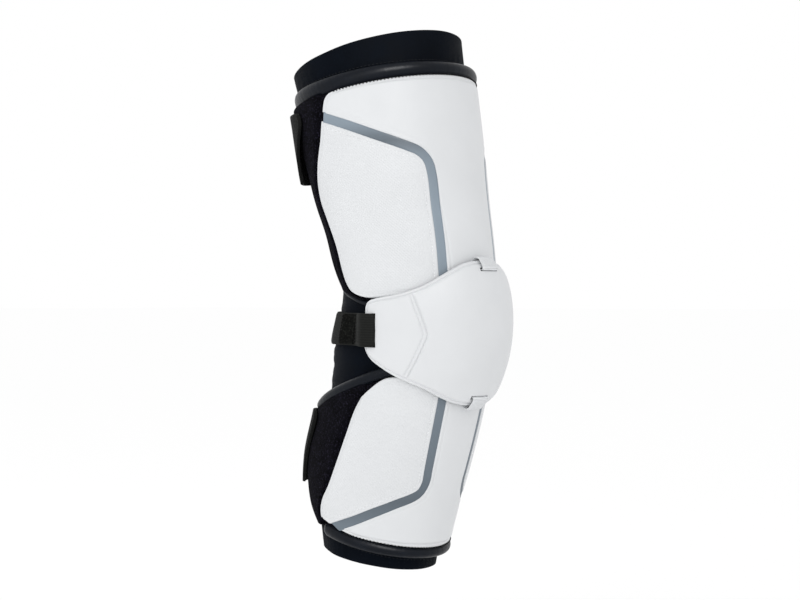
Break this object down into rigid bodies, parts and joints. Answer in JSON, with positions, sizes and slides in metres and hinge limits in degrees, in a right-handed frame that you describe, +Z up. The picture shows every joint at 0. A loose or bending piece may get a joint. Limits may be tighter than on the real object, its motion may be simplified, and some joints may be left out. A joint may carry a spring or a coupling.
{
  "type": "lacrosse arm pad",
  "caption": "Worn arm pad: neoprene sleeve with cuffs, two foam wraps with moulded panels and grey bands, a domed elbow cap and straps.",
  "frame": {"origin": "middle of the elbow, on the arm's axis", "axes": "+Z up the arm to the shoulder, -Y out of the point of the elbow, -X the wearer-side view of the picture (called left)"},
  "size_m": [0.1366, 0.173, 0.3924],
  "materials": {
    "neoprene": "matte knit-faced neoprene",
    "cuff_knit": "matte fine knit",
    "loop_fabric": "fuzzy hook-and-loop fabric",
    "binding": "smooth stretch fabric with a soft sheen",
    "shell": "satin moulded skin",
    "textured_shell": "satin skin with a fine dimple texture",
    "grey_film": "satin grey film",
    "white_webbing": "smooth white tape",
    "webbing": "ribbed woven elastic"
  },
  "bodies": {
    "root": {"inner_sleeve": "neoprene", "upper_cuff": "cuff_knit", "lower_cuff": "cuff_knit", "upper_wrap": "loop_fabric", "lower_wrap": "loop_fabric", "upper_end_roll": "binding", "lower_end_roll": "binding", "elbow_end_roll": "binding", "upper_binding_left": "binding", "upper_binding_right": "binding", "lower_binding_left": "binding", "lower_binding_right": "binding", "upper_front_panel": "shell", "upper_side_panel_left": "textured_shell", "upper_side_panel_right": "textured_shell", "upper_band_left": "grey_film", "upper_band_right": "grey_film", "lower_front_panel": "shell", "lower_side_panel_left": "textured_shell", "lower_side_panel_right": "textured_shell", "lower_band_left": "grey_film", "lower_band_right": "grey_film", "elbow_cap": "shell", "cap_loop_upper": "white_webbing", "cap_loop_lower": "white_webbing", "elbow_strap": "webbing", "upper_strap": "webbing", "lower_strap": "webbing"}
  },
  "joints": []
}
